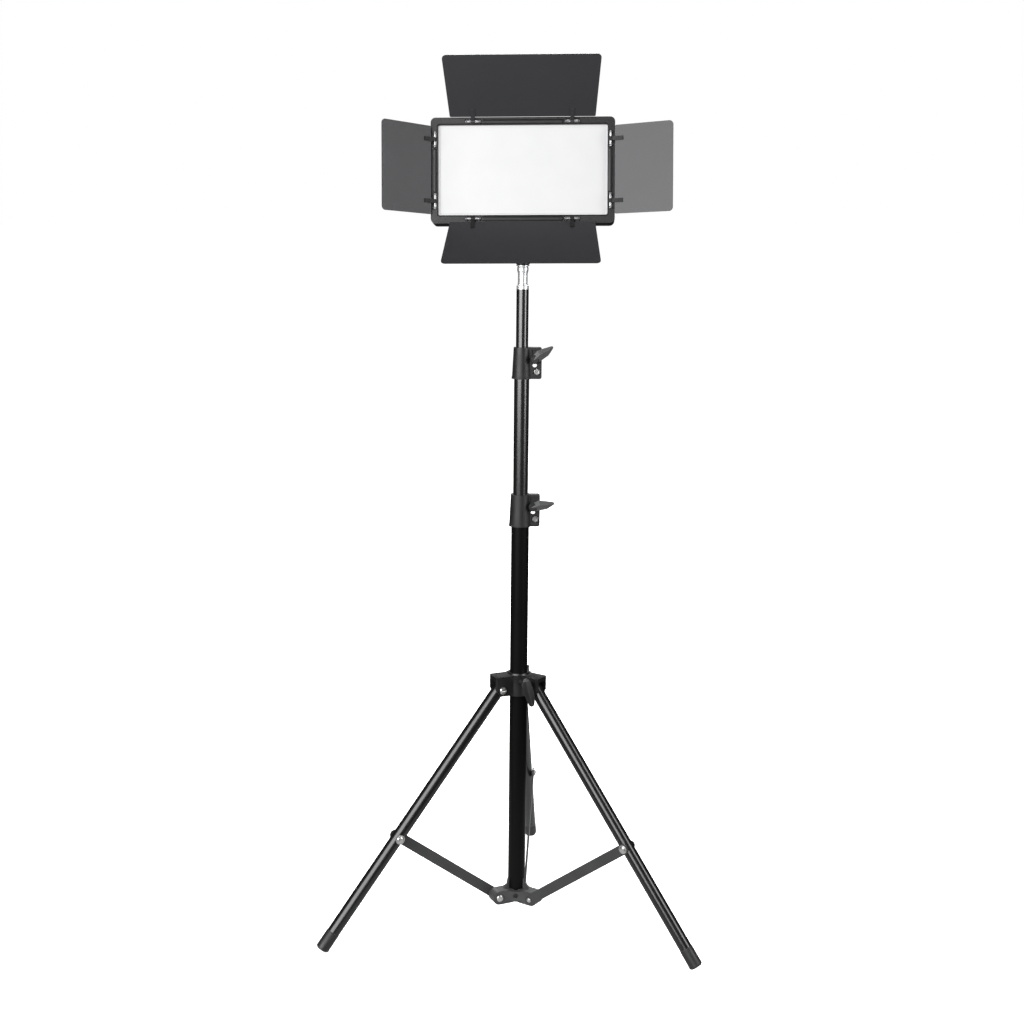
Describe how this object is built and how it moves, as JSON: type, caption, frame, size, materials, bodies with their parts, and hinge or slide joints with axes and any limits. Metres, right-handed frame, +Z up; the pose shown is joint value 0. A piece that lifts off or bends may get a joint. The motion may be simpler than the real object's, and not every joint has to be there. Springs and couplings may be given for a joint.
{
  "type": "led panel light",
  "caption": "Rectangular LED panel light with hinged barn-door leaves on a ball head and a folding, telescoping light stand.",
  "frame": {"origin": "on the floor, under the middle of the bounding box in the pictured pose", "axes": "+Z up the column, the lamp faces -Y, +X to the right seen from the front"},
  "size_m": [0.4811, 0.4364, 1.102],
  "materials": {
    "gloss_black_tube": "gloss black enamel",
    "black_brace": "satin black paint",
    "dark_nylon": "fine moulded texture",
    "lever_nylon": "satin",
    "zinc_steel": "zinc plated",
    "black_steel": "black oxide",
    "chrome": "polished",
    "black_aluminium": "anodised black",
    "case_plastic": "fine matte moulding",
    "diffuser_white": "frosted acrylic",
    "circuit_board": "solder mask",
    "led_chip": "phosphor",
    "plate_plastic": "satin",
    "nickel": "nickel plate",
    "brass": "turned",
    "leaf_paint": "matt black powder coat"
  },
  "bodies": {
    "column": {"lower_tube": "gloss_black_tube", "lower_hub": "dark_nylon", "hub_rivets": "zinc_steel", "hub_screw": "black_steel", "lower_lock": "dark_nylon", "lower_lock_screw": "zinc_steel"},
    "lower_lever": {"lower_lock_lever": "lever_nylon", "lower_lock_stud": "zinc_steel"},
    "collar": {"leg_collar": "dark_nylon", "collar_pivot_bolts": "zinc_steel"},
    "collar_knob": {"collar_knob": "lever_nylon"},
    "middle": {"middle_tube": "gloss_black_tube", "middle_bush": "dark_nylon", "upper_lock": "dark_nylon", "upper_lock_screw": "zinc_steel"},
    "upper_lever": {"upper_lock_lever": "lever_nylon", "upper_lock_stud": "zinc_steel"},
    "upper": {"upper_tube": "gloss_black_tube", "upper_bush": "dark_nylon", "spigot": "chrome"},
    "head": {"head_base": "black_aluminium"},
    "head_knob": {"head_knob": "lever_nylon"},
    "ball": {"head_ball": "chrome"},
    "lock_disc": {"lock_disc": "black_aluminium"},
    "panel": {"front_bezel": "case_plastic", "diffuser": "diffuser_white", "led_board": "circuit_board", "leds": "led_chip", "rear_cover": "case_plastic", "driver_board": "circuit_board", "battery_plates": "plate_plastic", "dc_jack": "nickel", "tripod_socket": "brass", "case_screws": "black_steel", "hinge_brackets": "black_steel", "hinge_pins": "zinc_steel"},
    "power_switch": {"power_switch": "plate_plastic"},
    "brightness_knob": {"brightness_knob": "lever_nylon"},
    "colour_knob": {"colour_knob": "lever_nylon"},
    "leg_rear": {"leg_tube_rear": "gloss_black_tube", "foot_cap_rear": "dark_nylon"},
    "brace_rear": {"brace_rear": "black_brace", "brace_rivets_rear": "zinc_steel"},
    "leg_right": {"leg_tube_right": "gloss_black_tube", "foot_cap_right": "dark_nylon"},
    "brace_right": {"brace_right": "black_brace", "brace_rivets_right": "zinc_steel"},
    "leg_left": {"leg_tube_left": "gloss_black_tube", "foot_cap_left": "dark_nylon"},
    "brace_left": {"brace_left": "black_brace", "brace_rivets_left": "zinc_steel"},
    "top_leaf": {"top_leaf": "leaf_paint", "top_leaf_arms": "leaf_paint"},
    "bottom_leaf": {"bottom_leaf": "leaf_paint", "bottom_leaf_arms": "leaf_paint"},
    "left_leaf": {"left_leaf": "leaf_paint", "left_leaf_arms": "leaf_paint"},
    "right_leaf": {"right_leaf": "leaf_paint", "right_leaf_arms": "leaf_paint"}
  },
  "joints": [
    {"name": "collar_slide", "type": "slide", "parent": "column", "child": "collar", "axis": [0, 0, 1], "range_m": [0, 0.1176]},
    {"name": "leg_rear_hinge", "type": "hinge", "parent": "collar", "child": "leg_rear", "pos_m": [0.01249, -0.03288, 0.31498], "axis": [-0.9972, 0.075, 0], "range_deg": [-0.5, 35.5]},
    {"name": "brace_rear_hinge", "type": "hinge", "parent": "leg_rear", "child": "brace_rear", "pos_m": [0.02301, 0.10709, 0.13531], "axis": [0.9972, -0.075, 0], "range_deg": [-0.5, 84.6]},
    {"name": "leg_right_hinge", "type": "hinge", "parent": "collar", "child": "leg_right", "pos_m": [0.03314, -0.0758, 0.31498], "axis": [0.5635, 0.8261, 0], "range_deg": [-0.5, 35.5]},
    {"name": "brace_right_hinge", "type": "hinge", "parent": "leg_right", "child": "brace_right", "pos_m": [0.1491, -0.1549, 0.13531], "axis": [-0.5635, -0.8261, 0], "range_deg": [-0.5, 84.6]},
    {"name": "leg_left_hinge", "type": "hinge", "parent": "collar", "child": "leg_left", "pos_m": [-0.01435, -0.07223, 0.31498], "axis": [0.4337, -0.9011, 0], "range_deg": [-0.5, 35.5]},
    {"name": "brace_left_hinge", "type": "hinge", "parent": "leg_left", "child": "brace_left", "pos_m": [-0.14084, -0.1331, 0.13531], "axis": [-0.4337, 0.9011, 0], "range_deg": [-0.5, 84.6]},
    {"name": "collar_knob_turn", "type": "hinge", "parent": "collar", "child": "collar_knob", "pos_m": [0.0197, -0.08884, 0.32358], "axis": [0.309, -0.9511, 0], "range_deg": [0, 270]},
    {"name": "middle_slide", "type": "slide", "parent": "column", "child": "middle", "axis": [0, 0, 1], "range_m": [-0.1455, 0.23]},
    {"name": "upper_slide", "type": "slide", "parent": "middle", "child": "upper", "axis": [0, 0, 1], "range_m": [-0.071, 0.295]},
    {"name": "lower_lever_turn", "type": "hinge", "parent": "column", "child": "lower_lever", "pos_m": [0.02643, -0.0603, 0.55251], "axis": [0, 1, 0], "range_deg": [-60, 100]},
    {"name": "upper_lever_turn", "type": "hinge", "parent": "middle", "child": "upper_lever", "pos_m": [0.02643, -0.0603, 0.73826], "axis": [0, 1, 0], "range_deg": [-40, 110]},
    {"name": "head_pan", "type": "hinge", "parent": "upper", "child": "head", "pos_m": [0.01043, -0.0603, 0.8778], "axis": [0, 0, 1], "continuous": true},
    {"name": "head_knob_turn", "type": "hinge", "parent": "head", "child": "head_knob", "pos_m": [0.01043, -0.0403, 0.8663], "axis": [0, 1, 0], "continuous": true},
    {"name": "head_tilt", "type": "hinge", "parent": "head", "child": "ball", "pos_m": [0.01043, -0.0603, 0.8778], "axis": [-0.9992, 0.0401, 0], "range_deg": [-40, 25]},
    {"name": "lock_disc_turn", "type": "hinge", "parent": "ball", "child": "lock_disc", "pos_m": [0.01024, -0.05755, 0.89761], "axis": [-0.0091, 0.1379, 0.9904], "continuous": true},
    {"name": "panel_swivel", "type": "hinge", "parent": "ball", "child": "panel", "pos_m": [0.01021, -0.05706, 0.90107], "axis": [-0.0091, 0.1379, 0.9904], "continuous": true},
    {"name": "top_leaf_hinge", "type": "hinge", "parent": "panel", "child": "top_leaf", "pos_m": [0.00826, -0.06129, 1.02432], "axis": [-0.9992, 0.0381, -0.0145], "range_deg": [-123.3, 28.7]},
    {"name": "right_leaf_hinge", "type": "hinge", "parent": "panel", "child": "right_leaf", "pos_m": [0.1147, -0.07333, 0.96842], "axis": [-0.0091, 0.1379, 0.9904], "range_deg": [-157.8, 22.2]},
    {"name": "bottom_leaf_hinge", "type": "hinge", "parent": "panel", "child": "bottom_leaf", "pos_m": [0.00932, -0.07729, 0.90944], "axis": [0.9992, -0.0381, 0.0145], "range_deg": [-92.1, 13.9]},
    {"name": "left_leaf_hinge", "type": "hinge", "parent": "panel", "child": "left_leaf", "pos_m": [-0.09712, -0.06525, 0.96534], "axis": [0.0091, -0.1379, -0.9904], "range_deg": [-136.5, 43.5]},
    {"name": "brightness_knob_turn", "type": "hinge", "parent": "panel", "child": "brightness_knob", "pos_m": [-0.07375, -0.02279, 0.98388], "axis": [0.0398, 0.9897, -0.1374], "range_deg": [0, 280]},
    {"name": "colour_knob_turn", "type": "hinge", "parent": "panel", "child": "colour_knob", "pos_m": [-0.07354, -0.02596, 0.9611], "axis": [0.0398, 0.9897, -0.1374], "range_deg": [0, 280]},
    {"name": "power_rocker", "type": "hinge", "parent": "panel", "child": "power_switch", "pos_m": [-0.07347, -0.03505, 0.93207], "axis": [0.9992, -0.0381, 0.0145], "range_deg": [0, 16]}
  ],
  "couplings": [
    {"joint": "leg_rear_hinge", "follows": "collar_slide", "rad_per_m": 5.1944},
    {"joint": "brace_rear_hinge", "follows": "collar_slide", "rad_per_m": 12.481},
    {"joint": "leg_right_hinge", "follows": "collar_slide", "rad_per_m": 5.1944},
    {"joint": "brace_right_hinge", "follows": "collar_slide", "rad_per_m": 12.481},
    {"joint": "leg_left_hinge", "follows": "collar_slide", "rad_per_m": 5.1944},
    {"joint": "brace_left_hinge", "follows": "collar_slide", "rad_per_m": 12.481}
  ]
}
